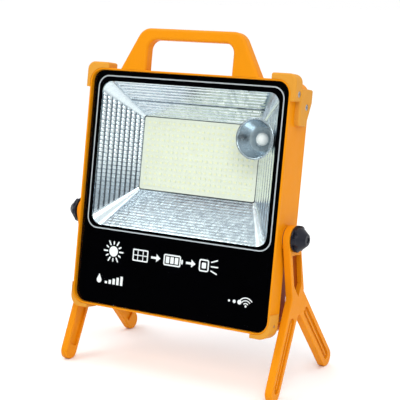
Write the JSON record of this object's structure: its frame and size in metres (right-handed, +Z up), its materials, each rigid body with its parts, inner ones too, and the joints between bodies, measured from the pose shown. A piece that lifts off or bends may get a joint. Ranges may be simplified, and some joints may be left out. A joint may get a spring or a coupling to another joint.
{
  "type": "solar flood light",
  "caption": "Portable solar work light: flat lamp head with glass front, reflector, rear solar panel and carry handle, tilting between clamped Y-shaped side legs.",
  "frame": {"origin": "on the ground, in the middle of the footprint of the legs", "axes": "+X to the lamp's right side as seen from the front, +Y from the lit front to the back, +Z up"},
  "size_m": [0.2676, 0.1314, 0.336],
  "materials": {
    "amber_guard": "soft impact-modified plastic",
    "amber_leg": "satin moulded ABS",
    "amber_shell": "satin moulded ABS, light texture",
    "board_green": "solder mask",
    "board_white": "white solder mask on aluminium",
    "button_rubber": "matt silicone",
    "cell_silicon": "polycrystalline silicon with silver fingers",
    "cell_wrap": "heat-shrink sleeve",
    "clear_glass": "tempered, printed black round the window",
    "cup_chrome": "bright",
    "flap_rubber": "matt silicone",
    "heat_aluminium": "extruded",
    "holder_black": "moulded",
    "insert_brass": "knurled",
    "knob_black": "fine grain",
    "led_phosphor": "silicone and phosphor",
    "lens_milky": "frosted",
    "pad_nylon": "nylon",
    "panel_board": "laminate",
    "panel_glass": "clear resin",
    "reflector_silver": "vacuum metallised, stepped facets",
    "screw_steel": "zinc plated",
    "seal_rubber": "matt",
    "sensor_black": "fine grain",
    "socket_black": "moulded",
    "socket_steel": "pressed sheet",
    "washer_steel": "zinc plated"
  },
  "bodies": {
    "housing": {"battery_cells": "cell_wrap", "battery_holder": "holder_black", "board_screws": "screw_steel", "carry_handle": "amber_shell", "case_screws": "screw_steel", "case_seal": "seal_rubber", "charge_lens": "lens_milky", "control_board": "board_green", "dc_socket": "socket_black", "flap_hinge_lugs": "flap_rubber", "front_frame": "amber_shell", "front_glass": "clear_glass", "glass_gasket": "seal_rubber", "guard_bottom_left": "amber_guard", "guard_bottom_right": "amber_guard", "guard_screws": "screw_steel", "guard_top_left": "amber_guard", "guard_top_right": "amber_guard", "handle_screws": "screw_steel", "heat_plate": "heat_aluminium", "led_board": "board_white", "led_chips": "led_phosphor", "panel_back": "panel_board", "panel_glass": "panel_glass", "pivot_inserts": "insert_brass", "pivot_pads": "pad_nylon", "plate_screws": "screw_steel", "rear_shell": "amber_shell", "reflector": "reflector_silver", "reflector_screws": "screw_steel", "sensor_cup": "cup_chrome", "sensor_lens": "lens_milky", "sensor_module": "sensor_black", "solar_cells": "cell_silicon", "tact_switch": "socket_black", "usb_socket": "socket_steel"},
    "right_leg": {"right_leg": "amber_leg"},
    "left_leg": {"left_leg": "amber_leg"},
    "right_washer": {"right_washer": "washer_steel"},
    "left_washer": {"left_washer": "washer_steel"},
    "right_knob": {"right_knob": "knob_black", "right_stud": "screw_steel"},
    "left_knob": {"left_knob": "knob_black", "left_stud": "screw_steel"},
    "power_button": {"power_button": "button_rubber"},
    "port_flap": {"port_flap": "flap_rubber"}
  },
  "joints": [
    {"name": "right_leg_swing", "type": "hinge", "parent": "housing", "child": "right_leg", "pos_m": [0.1173, -0.02125, 0.14894], "axis": [1, 0, 0], "range_deg": [-55, 100]},
    {"name": "left_leg_swing", "type": "hinge", "parent": "housing", "child": "left_leg", "pos_m": [-0.1173, -0.02125, 0.14894], "axis": [1, 0, 0], "range_deg": [-55, 100]},
    {"name": "right_clamp_travel", "type": "slide", "parent": "housing", "child": "right_washer", "axis": [1, 0, 0], "range_m": [0, 0.001]},
    {"name": "right_knob_turn", "type": "hinge", "parent": "right_washer", "child": "right_knob", "pos_m": [0.128, -0.02125, 0.14894], "axis": [1, 0, 0], "range_deg": [0, 360]},
    {"name": "left_clamp_travel", "type": "slide", "parent": "housing", "child": "left_washer", "axis": [-1, 0, 0], "range_m": [0, 0.001]},
    {"name": "left_knob_turn", "type": "hinge", "parent": "left_washer", "child": "left_knob", "pos_m": [-0.128, -0.02125, 0.14894], "axis": [-1, 0, 0], "range_deg": [0, 360]},
    {"name": "power_button_press", "type": "slide", "parent": "housing", "child": "power_button", "axis": [0, -0.9839, 0.1789], "range_m": [0, 0.0012], "stiffness_N_per_m": 600, "springref_m": -0.0008},
    {"name": "port_flap_hinge", "type": "hinge", "parent": "housing", "child": "port_flap", "pos_m": [0.053, -0.00029, 0.08425], "axis": [-1, 0, 0], "range_deg": [0, 120]}
  ],
  "couplings": [
    {"joint": "right_knob_turn", "follows": "right_clamp_travel", "rad_per_m": 6283.2},
    {"joint": "left_knob_turn", "follows": "left_clamp_travel", "rad_per_m": 6283.2}
  ]
}
